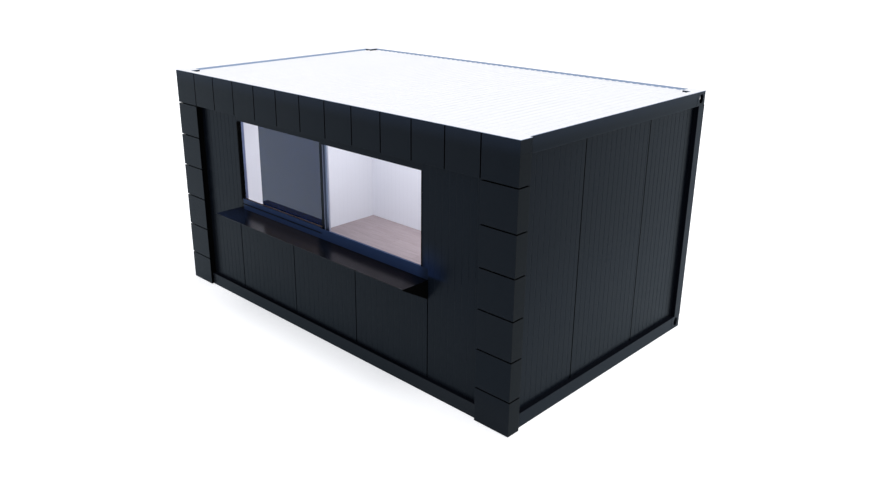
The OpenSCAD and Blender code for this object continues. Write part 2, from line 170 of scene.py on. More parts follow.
class Finish(Graph):
    """A material of one Principled shader and the fields that feed it."""

    def __init__(self, name, constants):
        self.material = bpy.data.materials.new(name)
        self.material.use_nodes = True
        super().__init__(self.material.node_tree)
        surface = self.node("ShaderNodeBsdfPrincipled", None, constants)
        self.shader = surface.socket.node
        self.node("ShaderNodeOutputMaterial", None, {"Surface": surface})

    def set(self, sockets):
        self.feed(self.shader, sockets)

    def paint(self, colour):
        """Gives the colour that later tints lie over."""
        self.colour = colour
        self.set({"Base Color": colour})

    def tint(self, mask, colour):
        """Lays a colour over the finish where the mask is one."""
        self.paint(self.mix(mask, self.colour, colour))

    def place(self):
        return self.node("ShaderNodeTexCoord", out="Object")

    def facing(self):
        return self.node("ShaderNodeTexCoord", out="Normal")

    def noise(self, vector, scale, detail=3.0, roughness=0.5):
        sockets = {"Vector": vector, "Scale": scale, "Detail": detail, "Roughness": roughness}
        return self.node("ShaderNodeTexNoise", None, sockets, out=0)

    def step(self, value, start, full):
        """Goes smoothly from zero at start to one at full, which may be the smaller."""
        settings = {"interpolation_type": "SMOOTHSTEP"}
        return self.node("ShaderNodeMapRange", settings, {0: value, 1: start, 2: full})

    def between(self, value, low, high, soft=0.001):
        """One between two values and zero beyond them, with soft ends."""
        return self.step(value, low - soft, low + soft) * self.step(value, high + soft, high - soft)

    def bump(self, height, distance, strength=1.0):
        sockets = {"Height": height, "Distance": distance, "Strength": strength}
        return self.node("ShaderNodeBump", None, sockets)


print("finishes ready")

# %% [markdown]
# Coated steel sheet is never one flat colour: the coating has a fine orange peel, its tone
# drifts in large clouds, and rain leaves upright streaks. A picture of a real sheet could
# give that, but three noises give it at any size, and panels, tiles, frame and window can
# then share one recipe in their own colours.

# %% Coated steel sheet
COOL_GLOSS = (0.95, 1.0, 1.0, 1.0)
STREAK_STRETCH = (9.0, 9.0, 0.5)


def coated_sheet(name, colour, roughness):
    finish = Finish(name, {"Specular IOR Level": 0.05, "Specular Tint": COOL_GLOSS})
    place = finish.place()
    cloud = finish.noise(place, 0.9, 4.0)
    streak = finish.noise(place * STREAK_STRETCH, 1.0, 4.0, 0.6)
    peel = finish.noise(place, 700.0, 2.0)
    tone = 0.84 + cloud * 0.16 + streak * 0.16
    finish.paint(finish.mix(1.0, colour, finish.mix(tone, grey(0.0), grey(1.0)), "MULTIPLY"))
    finish.set({"Roughness": roughness - 0.05 + cloud * 0.06 + peel * 0.04})
    finish.set({"Normal": finish.bump(peel, 0.0002, 0.25)})
    return finish


print("recipe for coated sheet ready")

# %% [markdown]
# The walls are sandwich panels with this coating in a dark blue grey. Their foot is painted
# paler, and the upper part of the end walls is painted bluer, a painted reflection of the open
# sky. Both change slowly with height, so a smooth step along Z is enough to lay them over.

# %% Coating of the wall panels
PANEL_GREY = (0.0062, 0.0090, 0.0142, 1.0)
PANEL_FOOT_PALE = (0.0150, 0.0170, 0.0200, 1.0)
PANEL_SKY_REFLECTION = (0.0010, 0.0022, 0.0056, 1.0)
FOOT_HEIGHTS = (1.3, 0.3)
HEAD_HEIGHTS = (0.8, 1.8)

panel_coating = coated_sheet("panel_coating", PANEL_GREY, 0.27)
panel_place = panel_coating.place()
panel_x, panel_y, panel_z = (panel_place.along(letter) for letter in "XYZ")
end_facing = abs(panel_coating.facing().along("X"))
wall_foot = panel_coating.step(panel_z, *FOOT_HEIGHTS)
wall_head = panel_coating.step(panel_z, *HEAD_HEIGHTS)
panel_coating.tint(wall_foot * (0.40 - end_facing * 0.18), PANEL_FOOT_PALE)
# painted reflection of the sky, bluer on the upper part of the end walls
panel_coating.tint(wall_head * end_facing * 0.6, PANEL_SKY_REFLECTION)
print("panels coated")

# %% [markdown]
# A dark wall carries soft light and shade from what stands beside it: a blue cast at the
# end of the blue sill, and shade in the corners beside the left column and the back posts.
# Light that bounces between such dark faces is very faint in a render, so these zones are
# painted by their place. They belong to the finish and stay when the view turns.

# %% Blue cast and corner shade on the panels
SILL_CAST = (0.012, 0.024, 0.064, 1.0)
CORNER_SHADE = grey(0.0020)

sill_low, sill_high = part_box("window_sill")
left_column_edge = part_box("left_column_tiles")[1].x
back_post_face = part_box("corner_post_back_right")[0].y

on_front = panel_coating.step(panel_y, sill_low.y + 0.30, sill_low.y + 0.10)
cast_start = panel_coating.step(panel_x, sill_high.x - 0.10, sill_high.x - 0.02)
cast_end = panel_coating.step(panel_x, sill_high.x + 0.30, sill_high.x - 0.05)
cast_foot = panel_coating.step(panel_z, sill_low.z + 0.02, sill_low.z + 0.06)
cast_head = panel_coating.step(panel_z, sill_high.z + 0.30, sill_high.z - 0.10)
panel_coating.tint(cast_start * cast_end * cast_foot * cast_head * on_front, SILL_CAST)

left_corner = panel_coating.step(panel_x, left_column_edge + 0.167, left_column_edge + 0.027) * on_front
back_corner = panel_coating.step(panel_y, back_post_face - 0.18, back_post_face - 0.06) * end_facing
panel_coating.tint(left_corner.larger(back_corner) * 0.45, CORNER_SHADE)
print("cast and shade beside", round(sill_high.x, 3), round(left_column_edge, 3), round(back_post_face, 3))

# %% [markdown]
# Fine lines are pressed into the panels. They are real grooves in the CAD mesh, so their
# slopes need no drawing: a slope looks along no axis, and a measure of squareness finds it
# for a little painted shade. What lies deeper than the lines, inside the joints between panels,
# gets no light and is black, and so is the seal in the two joints of each end wall.

# %% Pressed lines and panel joints
LINE_SHADE = (0.004, 0.006, 0.009, 1.0)
JOINT_BLACK = grey(0.0008)
JOINT_DEPTH = 0.005
INNER_SKIN = 0.002
END_JOINT = 0.529
SEAL_HALF = 0.008


def squareness(finish):
    """One where a face looks straight along an axis, less on slopes and rounded edges."""
    turned = abs(finish.facing())
    return turned.along("X").larger(turned.along("Y")).larger(turned.along("Z"))


# painted shade on the slopes of the pressed lines
slope = panel_coating.step(squareness(panel_coating), 0.995, 0.93)
panel_coating.tint(slope * 0.25, LINE_SHADE)

end_low, end_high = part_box("right_wall_panels")
front_low, front_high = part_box("front_panel_left")
back_low, back_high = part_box("back_wall_panels")
in_end = panel_coating.between(abs(panel_x), end_low.x + INNER_SKIN, end_high.x - JOINT_DEPTH)
in_front = panel_coating.between(panel_y, front_low.y + JOINT_DEPTH, front_high.y - INNER_SKIN)
in_back = panel_coating.between(panel_y, back_low.y + INNER_SKIN, back_high.y - JOINT_DEPTH)
from_end_middle = abs(panel_y - (end_low.y + end_high.y) / 2)
seal = panel_coating.between(from_end_middle, END_JOINT - SEAL_HALF, END_JOINT + SEAL_HALF)
seal = seal * panel_coating.step(abs(panel_x), end_low.x - 0.02, end_low.x)
panel_coating.tint(in_end.larger(in_front).larger(in_back).larger(seal), JOINT_BLACK)
print("joints black below", JOINT_DEPTH, "m")

# %% [markdown]
# The folded tiles share the coating, but each left the press on its own, so each has its
# own faint tone. A material per tile could give that. One material does it too: a tile's
# number follows from its place, as a column of the fascia and a row of the corner columns,
# and a white noise turns the number into a tone.

# %% Coating of the cladding tiles
TILE_GREY = (0.0058, 0.0084, 0.0130, 1.0)
TILE_PALE = grey(0.022)
FASCIA_COUNT = 11
TILE_GAP = 0.012
TILE_ROW = 0.376
FIRST_ROW_TOP = cad_box[1][2] - 0.007

fascia_low, fascia_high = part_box("fascia_tiles")
tile_pitch = (fascia_high.x - fascia_low.x + TILE_GAP) / FASCIA_COUNT
tile_coating = coated_sheet("tile_coating", TILE_GREY, 0.28)
tile_place = tile_coating.place()
tile_column = (tile_place.along("X") / tile_pitch + 20.5).floor()
tile_row = ((FIRST_ROW_TOP - tile_place.along("Z")) / TILE_ROW).floor()
tile_number = tile_column + tile_row * 31.0
tile_tone = tile_coating.node("ShaderNodeTexWhiteNoise", {"noise_dimensions": "1D"},
    {"W": tile_number}, out="Value")
tile_coating.tint(tile_tone * 0.10, TILE_PALE)
print("tiles every", round(tile_pitch, 4), "m")

# %% [markdown]
# The edges of the tiles differ from their faces. Under the roof they look paler, which is
# painted as a soft light, their foot is dusty, and handling has rubbed the rounded folds.
# The test that found the grooves of the panels finds these folds. The sides folded into
# the joints get black painted shade, and the returns on the end walls are painted darker.

# %% Edges and folds of the tiles
UPPER_LIGHT = (0.018, 0.026, 0.044, 1.0)
TILE_DUST = (0.016, 0.017, 0.020, 1.0)
FOLD_BLACK = grey(0.0012)
TILE_FOOT = (0.50, 0.0)
RETURN_DEPTH = 0.004


def lighten_upper_edge(finish, reach, amount):
    near_roof = finish.step(finish.place().along("Z"), cad_box[1][2] - reach, cad_box[1][2])
    finish.tint(near_roof * amount, UPPER_LIGHT)


def rub_edges(finish, colour, amount):
    patches = finish.noise(finish.place(), 24.0, 4.0, 0.65)
    edge = finish.step(squareness(finish), 0.995, 0.90) * finish.step(patches, 0.35, 0.7)
    finish.tint(edge * amount, colour)


lighten_upper_edge(tile_coating, 0.16, 0.65)
tile_coating.tint(tile_coating.step(tile_place.along("Z"), *TILE_FOOT) * 0.5, TILE_DUST)
rub_edges(tile_coating, grey(0.030), 0.5)

tile_end = cad_box[1][0] - RETURN_DEPTH
tile_facing = abs(tile_coating.facing())
inside_end = tile_coating.step(abs(tile_place.along("X")), tile_end, tile_end - 0.002)
fold = tile_facing.along("Z").larger(tile_facing.along("X") * inside_end)
end_return = tile_coating.step(tile_facing.along("X"), 0.7, 0.9) * (1.0 - inside_end)
tile_coating.tint(end_return * 0.7, FOLD_BLACK)
# black painted shade on the sides folded into the joints
tile_coating.tint(tile_coating.step(fold, 0.75, 0.95), FOLD_BLACK)
print("tile edges ready")

# %% [markdown]
# Rails, posts and castings are welded steel under a thicker sprayed coat. It is the same
# sheet recipe with a coarser peel, scuffed edges and dust on what lies low. The roof rails
# get painted shade, darker and bluer, under the white roof, with a painted highlight on
# their upper edge, and the front of the base rail a paler painted reflection of the floor.

# %% Sprayed coat of the steel frame
FRAME_GREY = (0.0082, 0.0115, 0.0175, 1.0)
ROAD_DUST = (0.03, 0.029, 0.027, 1.0)
ROOF_RAIL_SHADE = (0.0022, 0.0040, 0.0080, 1.0)
RAIL_FLOOR_REFLECTION = (0.024, 0.026, 0.029, 1.0)
ROAD_HEIGHTS = (0.10, 0.0)

base_rail_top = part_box("base_rail_front")[1].z
roof_rail_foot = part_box("roof_rail_front")[0].z
frame_coat = coated_sheet("frame_coat", FRAME_GREY, 0.30)
frame_place = frame_coat.place()
frame_z = frame_place.along("Z")
frame_coat.set({"Normal": frame_coat.bump(frame_coat.noise(frame_place, 160.0, 3.0), 0.0005, 0.25)})

dust_patches = frame_coat.step(frame_coat.noise(frame_place, 14.0, 5.0, 0.6), 0.45, 0.75)
frame_coat.tint(frame_coat.step(frame_z, *ROAD_HEIGHTS) * dust_patches * 0.35, ROAD_DUST)
# painted shade on the roof rails, darker and bluer
roof_rail = frame_coat.step(frame_z, roof_rail_foot - 0.076, roof_rail_foot + 0.004)
frame_coat.tint(roof_rail * 0.6, ROOF_RAIL_SHADE)
# painted highlight on the upper edge of the roof rails
lighten_upper_edge(frame_coat, 0.12, 0.55)
# painted reflection of the floor, paler on the front of the base rail
front_rail_reflection = frame_coat.step(frame_z, base_rail_top + 0.06, base_rail_top - 0.01)
front_rail_reflection = front_rail_reflection * frame_coat.step(frame_coat.facing().along("Y"), -0.7, -0.9)
frame_coat.tint(front_rail_reflection * 0.7, RAIL_FLOOR_REFLECTION)
rub_edges(frame_coat, grey(0.045), 0.5)
print("frame coated, rails at", round(base_rail_top, 3), "and", round(roof_rail_foot, 3), "m")

# %% [markdown]
# Seals, cords and ledge strips are black rubber. Rubber is matt and has hardly any gloss,
# only a fine grain, so one noise feeds its colour, its roughness and its bump. The strips
# along the ledges catch a little more light and get a slightly paler mix.

# %% Rubber
def rubber(name, dark, light):
    finish = Finish(name, {"Specular IOR Level": 0.02})
    grain = finish.noise(finish.place(), 420.0, 2.0)
    finish.paint(finish.mix(grain, dark, light))
    finish.set({"Roughness": 0.62 + grain * 0.2, "Normal": finish.bump(grain, 0.0003, 0.4)})
    return finish


black_trim = rubber("black_rubber", grey(0.0010), grey(0.0030))
edge_rubber = rubber("edge_rubber", (0.0022, 0.0030, 0.0052, 1.0), (0.0045, 0.0055, 0.0085, 1.0))
print("two rubbers mixed")

# %% [markdown]
# The roof is white coated sheet with shallow ribs. Water drains along the ribs and leaves
# faint grey tracks in the valleys, so the noise for the dust is stretched along them. The
# edge caps are the same sheet: their flat tops stay white while their upright folds get a
# cool blue-grey painted shade, as white faces lit only by the sky.

# %% White roof sheet and edge caps
ROOF_WHITE = (0.925, 0.92, 0.915, 1.0)
ROOF_DUST = (0.87, 0.875, 0.88, 1.0)
CAP_SKY_SHADE = (0.37, 0.48, 0.66, 1.0)
TRACK_STRETCH = (11.9, 0.35, 1.0)


def white_sheet(name):
    finish = Finish(name, {"Specular IOR Level": 0.3})
    place = finish.place()
    track = finish.noise(place * TRACK_STRETCH, 1.0, 4.0, 0.6)
    spots = finish.noise(place, 6.0, 6.0, 0.65)
    grain = finish.noise(place, 500.0, 2.0)
    dust = finish.step(track, 0.45, 0.8) * finish.step(spots, 0.35, 0.75) * 0.5
    finish.paint(finish.mix(dust, ROOF_WHITE, ROOF_DUST))
    finish.set({"Roughness": 0.42 + dust * 0.3 + grain * 0.05})
    finish.set({"Normal": finish.bump(grain, 0.0002, 0.3)})
    return finish


roof_coating = white_sheet("roof_coating")
cap_coating = white_sheet("cap_coating")
# cool painted shade on the upright folds of the caps
upright = cap_coating.step(abs(cap_coating.facing().along("Z")), 0.7, 0.3)
cap_coating.tint(upright, CAP_SKY_SHADE)
print("white sheets ready")

# %% [markdown]
# The room is lined with pale panels that repeat the fine pressed lines of the outside,
# much fainter. The lines are drawn from the place on the wall, with a small bump so that
# they catch the light, because they are far too shallow to be worth modelling. End walls
# get a little painted shade and the back wall painted light, like the light in a real room.

# %% Pale lining of the room
LINING_PALE = (0.755, 0.765, 0.81, 1.0)
LINING_CLOUD = (0.72, 0.73, 0.785, 1.0)
LINING_PAINTED_LIGHT = (0.88, 0.90, 0.96, 1.0)
LINE_GREY = (0.55, 0.55, 0.60, 1.0)
LINE_PITCH = 0.079
LINE_EDGES = (0.0045, 0.0015)
OFF_BACK_WALL = (1.55, 0.30)
NEAR_ENDS = (0.6, 2.3)


def line_distance(finish, value, pitch):
    """How far a place is from the nearest line of a row of lines."""
    return finish.node("ShaderNodeMath", {"operation": "PINGPONG"}, {0: value, 1: pitch / 2})


lining = Finish("pale_lining", {"Specular IOR Level": 0.3})
lining_place = lining.place()
lining_facing = abs(lining.facing())
lining_cloud = lining.noise(lining_place, 1.4, 4.0)
lining.paint(lining.mix(lining_cloud, LINING_PALE, LINING_CLOUD))
off_back_wall = lining.step(lining_place.along("Y"), *OFF_BACK_WALL)
# painted shade on the end walls, more of it away from the back wall
lining.tint(lining_facing.along("X") * (0.06 + off_back_wall * 0.02), grey(0.0))
near_ends = lining.step(abs(lining_place.along("X")), *NEAR_ENDS)
# painted light on the back wall, most of it towards the ends
lining.tint(lining_facing.along("Y") * (0.08 + near_ends * 0.40), LINING_PAINTED_LIGHT)

across_ends = lining_place.along("Y") * lining_facing.along("X")
across_room = lining_place.along("X") * (lining_facing.along("Y") + lining_facing.along("Z"))
lining_line = lining.step(line_distance(lining, across_ends + across_room, LINE_PITCH), *LINE_EDGES)
lining.tint(lining_line * 0.15, LINE_GREY)
lining.set({"Roughness": 0.5 + lining_cloud * 0.1})
lining.set({"Normal": lining.bump(1.0 - lining_line, 0.0006, 0.25)})
print("lining lines every", LINE_PITCH, "m")

# %% [markdown]
# The floor is printed laminate: long boards with fine grain along them, each a slightly
# different cut of the print. Every board will carry its own number as a mesh attribute,
# and the finish uses that number to shift its tone and its grain. Towards the window the
# floor lies in the shade of the front wall, and it is painted a little darker there.

# %% Laminate of the floor boards
LAMINATE_LIGHT = (0.40, 0.335, 0.35, 1.0)
LAMINATE_DARK = (0.262, 0.210, 0.216, 1.0)
GRAIN_STRETCH = (1.6, 26.0, 1.0)
FLAME_STRETCH = (0.5, 0.25, 1.0)
WINDOW_SHADE = (1.50, 0.50)

laminate = Finish("floor_laminate_print", {"Specular IOR Level": 0.4})
laminate_place = laminate.place()
board_number = laminate.node("ShaderNodeAttribute", {"attribute_name": "board"}, out="Fac")
board_shift = laminate.node("ShaderNodeCombineXYZ", None, {0: board_number * 7.3, 1: board_number * 3.1})
grain_place = (laminate_place + board_shift) * GRAIN_STRETCH
wood_grain = laminate.noise(grain_place, 3.0, 6.0, 0.65)
wood_flame = laminate.noise(grain_place * FLAME_STRETCH, 2.0, 3.0, 0.5)
print_tone = laminate.step(wood_grain * 0.7 + wood_flame * 0.25 + board_number * 0.10, 0.20, 0.90)
laminate.paint(laminate.mix(print_tone, LAMINATE_LIGHT, LAMINATE_DARK))
laminate.tint(laminate.step(laminate_place.along("Y"), *WINDOW_SHADE) * 0.33, grey(0.0))
laminate.set({"Roughness": 0.38 + wood_grain * 0.2})
laminate.set({"Normal": laminate.bump(wood_grain, 0.0004, 0.35)})
print("laminate ready")

# %% [markdown]
# The window frame is dark coated profile, so the sheet recipe serves again. The side of
# the mullion that looks into the open half catches the light of the room as a thin pale
# line. It is only about a pixel wide in the picture, so it is painted on that side alone.

# %% Window frame
WINDOW_GREY = (0.0056, 0.0080, 0.0125, 1.0)
MULLION_LIGHT = (0.34, 0.38, 0.50, 1.0)
LINE_REACH = 0.004


def light_side(finish, side_x, colour):
    """Paints a pale painted highlight on the upright side that looks along X at one place."""
    at_side = finish.between(finish.place().along("X"), side_x - LINE_REACH, side_x + LINE_REACH)
    finish.tint(at_side * finish.step(finish.facing().along("X"), 0.7, 0.95), colour)


mullion_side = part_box("window_mullion")[1].x
window_coat = coated_sheet("window_coat", WINDOW_GREY, 0.30)
rub_edges(window_coat, grey(0.03), 0.4)
light_side(window_coat, mullion_side, MULLION_LIGHT)
print("mullion side at", round(mullion_side, 3), "m")

# %% [markdown]
# The sill is a folded profile that looks deep blue in the photograph, most likely from the
# sky above it. A white studio has no such sky, so the blue is painted into its coating here
# as a painted reflection of that sky. It fades to the grey of the panels at the right end,
# is black at the left one, and along the pane its groove gets painted shade.

# %% Blue sill
SILL_BLUE = (0.0290, 0.0520, 0.1220, 1.0)
SILL_RUBBED = (0.03, 0.055, 0.12, 1.0)
GROOVE_HEIGHT = 0.062
GROOVE_HALF = 0.008

sill_coat = coated_sheet("sill_coat", SILL_BLUE, 0.30)
sill_x = sill_coat.place().along("X")
groove_z = sill_low.z + GROOVE_HEIGHT
groove = sill_coat.between(sill_coat.place().along("Z"), groove_z - GROOVE_HALF, groove_z + GROOVE_HALF)
groove = groove * sill_coat.step(sill_x, mullion_side, mullion_side - 0.04)
sill_coat.tint(sill_coat.step(sill_x, sill_high.x - 0.16, sill_high.x) * 0.85, PANEL_GREY)
sill_coat.tint(sill_coat.step(sill_x, sill_low.x + 0.05, sill_low.x + 0.02), FOLD_BLACK)
# painted shade in the groove along the pane
sill_coat.tint(groove * 0.85, FOLD_BLACK)
rub_edges(sill_coat, SILL_RUBBED, 0.4)
print("sill groove at", round(groove_z, 3), "m")

# %% [markdown]
# The sliding pane is tinted glass, so it lets little light through and mostly mirrors the
# pale surroundings. Full transmission with a dark colour gives both at once, and a faint
# smear in the roughness keeps it from looking like a hole.

# %% Tinted pane
PANE_TINT = (0.78, 0.74, 0.78, 1.0)
PANE_DARK = (0.006, 0.013, 0.045, 1.0)
SMEAR_STRETCH = (3.0, 1.0, 7.0)

pane_glass = Finish("pane_glass", {"Transmission Weight": 1.0, "IOR": 1.5, "Specular Tint": PANE_TINT})
pane_smear = pane_glass.noise(pane_glass.place() * SMEAR_STRETCH, 1.0, 5.0, 0.6)
pane_glass.paint(PANE_DARK)
pane_glass.set({"Roughness": pane_glass.step(pane_smear, 0.5, 0.9) * 0.05})
print("pane ready")

# %% [markdown]
# The counter is a black gloss sheet with fine rub marks along it. The photograph shows two
# slanted bands on its top, one for each half of the window, and a bluish far end, which
# look like reflections. The gloss of this sheet is too weak to give them, so they are
# painted along a slanted direction, and they stay when the view turns.

# %% Black gloss of the counter
WARM_GLOSS = (1.0, 0.94, 0.92, 1.0)
COUNTER_BLACK = (0.0016, 0.0022, 0.0040, 1.0)
COUNTER_RUBBED = (0.0030, 0.0038, 0.0062, 1.0)
COUNTER_DIM = (0.0085, 0.0070, 0.0080, 1.0)
COUNTER_BRIGHT = (0.0190, 0.0163, 0.0180, 1.0)
COUNTER_BLUE = (0.0060, 0.0105, 0.0250, 1.0)
SLANT = 1.285
SLANT_FROM = -1.35
DIM_BAND = (0.16, 1.32)
BRIGHT_BAND = (-1.22, -0.03)
BLUE_END = (-1.26, -1.34)
RUB_STRETCH = (4.0, 22.0, 1.0)

counter_gloss = Finish("counter_gloss_black", {"Specular IOR Level": 0.12, "Specular Tint": WARM_GLOSS})
counter_place = counter_gloss.place()
counter_rub = counter_gloss.noise(counter_place * RUB_STRETCH, 1.0, 5.0, 0.6)
counter_gloss.paint(counter_gloss.mix(counter_rub, COUNTER_BLACK, COUNTER_RUBBED))
slanted = counter_place.along("X") + (counter_place.along("Y") - SLANT_FROM) * SLANT
on_top = counter_gloss.step(counter_gloss.facing().along("Z"), 0.8, 0.95)
dim_band = counter_gloss.between(slanted, *DIM_BAND, soft=0.06)
dim_band = dim_band * counter_gloss.step(counter_rub, 0.0, 0.6)
bright_band = counter_gloss.between(slanted, *BRIGHT_BAND, soft=0.05)
counter_gloss.tint(dim_band * on_top, COUNTER_DIM)
counter_gloss.tint(bright_band * on_top, COUNTER_BRIGHT)
counter_gloss.tint(counter_gloss.step(slanted, *BLUE_END) * on_top, COUNTER_BLUE)
counter_gloss.set({"Roughness": 0.18 + counter_rub * 0.06})
print("counter ready")

# %% [markdown]
# The track, the stile of the pane and the inner trim are bare metal. Drawn and brushed
# metal has fine lines along its length, so the noise is squeezed across them and hardly
# changes along them. The side of the stile that looks into the room is painted pale, in
# the same way as that of the mullion.

# %% Bare metals of the window
BRONZE_DARK = (0.34, 0.25, 0.22, 1.0)
BRONZE_LIGHT = (0.45, 0.34, 0.30, 1.0)
STILE_DARK = (0.100, 0.115, 0.165, 1.0)
STILE_GREY = (0.135, 0.150, 0.205, 1.0)
STILE_LIGHT = (0.45, 0.47, 0.54, 1.0)
TRIM_DARK = (0.17, 0.21, 0.34, 1.0)
TRIM_LIGHT = (0.24, 0.28, 0.42, 1.0)
LINES_ALONG_X = (2.0, 300.0, 300.0)
LINES_ALONG_Z = (420.0, 420.0, 2.0)


def brushed_metal(name, dark, light, lines, roughness, spread):
    finish = Finish(name, {"Metallic": 1.0})
    brush = finish.noise(finish.place() * lines, 1.0, 3.0)
    finish.paint(finish.mix(brush, dark, light))
    finish.set({"Roughness": roughness + brush * spread})
    return finish


def upright_metal(name, dark, light):
    return brushed_metal(name, dark, light, LINES_ALONG_Z, 0.30, 0.16)


track_bronze = brushed_metal("track_bronze_bar", BRONZE_DARK, BRONZE_LIGHT, LINES_ALONG_X, 0.32, 0.2)
stile_metal = upright_metal("stile_metal", STILE_DARK, STILE_GREY)
light_side(stile_metal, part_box("pane_stile")[1].x, STILE_LIGHT)
bright_trim = upright_metal("bright_trim", TRIM_DARK, TRIM_LIGHT)
print("three metals ready")

# %% [markdown]
# Each CAD piece now gets its finish. Sheared and folded metal never has a knife edge, so
# the pieces also get a small bevel. The bevel could be cut into the CAD, but it is far too
# fine for it: a modifier welds the mesh, joins its flat faces and rounds the sharp edges
# that remain, and it leaves the CAD mesh itself alone.

# %% Dress the CAD pieces
DRESS = {
    "frame_steel": frame_coat, "wall_panel": panel_coating, "cladding_tile": tile_coating,
    "roof_white": roof_coating, "lining_white": lining, "floor_laminate": laminate,
    "window_frame": window_coat, "tinted_glass": pane_glass, "track_bronze": track_bronze,
    "stile_aluminium": stile_metal, "counter_gloss": counter_gloss, "black_trim": black_trim,
    "sill_blue": sill_coat,
}
EDGE_RADIUS = {
    "frame_steel": 0.003, "cladding_tile": 0.0014, "window_frame": 0.0015, "counter_gloss": 0.0012,
    "roof_white": 0.001, "tinted_glass": 0.001, "track_bronze": 0.0008, "stile_aluminium": 0.0012,
    "black_trim": 0.001, "sill_blue": 0.0015,
}


def round_edges(piece, radius):
    weld = piece.modifiers.new("weld", "WELD")
    weld.merge_threshold = 1e-5
    flatten = piece.modifiers.new("flatten", "DECIMATE")
    flatten.decimate_type = "DISSOLVE"
    flatten.angle_limit = 0.01
    bevel = piece.modifiers.new("round", "BEVEL")
    bevel.width = radius
    bevel.segments = 2
    bevel.limit_method = "ANGLE"
    bevel.angle_limit = math.radians(40)


for name, piece in nodes.items():
    slot = piece.data.materials[0].name.split(".")[0]
    finish = cap_coating if name.startswith("roof_cap") else DRESS[slot]
    for index in range(len(piece.material_slots)):
        piece.material_slots[index].material = finish.material
    if slot in EDGE_RADIUS:
        round_edges(piece, EDGE_RADIUS[slot])
print("dressed", len(nodes), "pieces")

# %% [markdown]
# Strips, trims and cords have a constant section along a straight run. A curve with a
# bevel could draw them, but a mesh swept from a profile shows every corner of the section
# and is quick to write: one ring of points at each end, sides between them, and two caps.

# %% Swept pieces
X, Y, Z = Vector((1, 0, 0)), Vector((0, 1, 0)), Vector((0, 0, 1))


def new_piece(name, points, faces, finish, smooth=False):
    mesh = bpy.data.meshes.new(name)
    mesh.from_pydata([tuple(p) for p in points], [], faces)
    mesh.materials.append(finish.material)
    for face in mesh.polygons:
        face.use_smooth = smooth
    piece = bpy.data.objects.new(name, mesh)
    bpy.context.scene.collection.objects.link(piece)
    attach(piece, "root")
    return piece


def swept(points, faces, profile, start, end, across, up):
    """Adds a closed profile, given as (across, up) pairs, swept from start to end."""
    start, end, across, up = Vector(start), Vector(end), Vector(across), Vector(up)
    first = len(points)
    count = len(profile)
    for base in (start, end):
        points.extend(base + across * u + up * v for u, v in profile)
    clockwise = across.cross(up).dot(end - start) < 0
    for i in range(count):
        j = (i + 1) % count
        side = (first + i, first + j, first + count + j, first + count + i)
        faces.append(side[::-1] if clockwise else side)
    caps = [tuple(range(first, first + count))[::-1], tuple(range(first + count, first + 2 * count))]
    faces.extend(cap[::-1] if clockwise else cap for cap in caps)


print("sweep ready")

# %% [markdown]
# Between the panels and the steel lies black rubber: a flat strip along every ledge, with
# a lip turned up against the panel. The real strip is extruded and cut to length, so its
# section is drawn once and swept along each ledge. All places come from the boxes of the
# rails, posts and panels that the strip lies on.

# %% Rubber along the ledges of the frame
LIP = 0.006


def lip_profile(depth):
    return [(0.002, 0.0), (depth, 0.0), (depth, LIP), (depth - 0.004, LIP), (depth - 0.009, 0.004),
        (0.006, 0.0032), (0.002, 0.0014)]


frame_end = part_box("base_rail_right")[1].x
frame_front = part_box("base_rail_front")[0].y
frame_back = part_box("base_rail_back")[1].y
panel_top = end_high.z
column_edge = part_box("right_column_backing")[0].x
post_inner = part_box("corner_post_front_right")[0].x
post_width = frame_end - post_inner
long_lip = lip_profile(front_low.y - frame_front)
end_lip = lip_profile(frame_end - end_high.x)

points, faces = [], []
swept(points, faces, long_lip, (-column_edge, frame_front, base_rail_top),
    (column_edge, frame_front, base_rail_top), Y, Z)
swept(points, faces, long_lip, (-post_inner, frame_back, base_rail_top),
    (post_inner, frame_back, base_rail_top), -Y, Z)
for side in (-1, 1):
    end_x, inner_x = side * frame_end, side * post_inner
    near, far = frame_front + post_width, frame_back - post_width
    swept(points, faces, end_lip, (end_x, near, base_rail_top), (end_x, far, base_rail_top), -side * X, Z)
    swept(points, faces, end_lip, (end_x, far, base_rail_top), (end_x, far, panel_top), -side * X, -Y)
    swept(points, faces, end_lip, (end_x, near, base_rail_top), (end_x, near, panel_top), -side * X, Y)
    swept(points, faces, long_lip, (inner_x, frame_back, base_rail_top),
        (inner_x, frame_back, panel_top), -Y, -side * X)
new_piece("panel_edge_rubber", points, faces, edge_rubber)
print("rubber strips:", len(faces), "faces")

# %% [markdown]
# Laminate boards click together in rows, each row started with the rest of the last
# board, and their upper edges are eased so that every seam shows as a fine line. A drawn
# pattern would be flat, so each board is a body of its own with chamfered edges: three
# rings of four corners, cut off at the walls.

# %% One floor board
BOARD_LENGTH = 1.285
BOARD_WIDTH = 0.193
BOARD_GAP = 0.0006
EASED = 0.0012
FACES_PER_BOARD = 10

floor_low, floor_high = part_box("floor_covering")


def board(points, faces, left, right, front, back):
    base = len(points)
    for inset, height in ((0.0, floor_low.z), (0.0, floor_high.z - EASED), (EASED, floor_high.z)):
        points += [(left + inset, front + inset, height), (right - inset, front + inset, height),
            (right - inset, back - inset, height), (left + inset, back - inset, height)]
    faces += [(base + 3, base + 2, base + 1, base), (base + 8, base + 9, base + 10, base + 11)]
    for ring in (base, base + 4):
        faces += [(ring + i, ring + (i + 1) % 4, ring + 4 + (i + 1) % 4, ring + 4 + i) for i in range(4)]


print("floor from", round(floor_low.x, 3), "to", round(floor_high.x, 3), "m")

# %% Rows of floor boards
ROW_SHIFT = 0.47 * BOARD_LENGTH
LEAST = 0.001

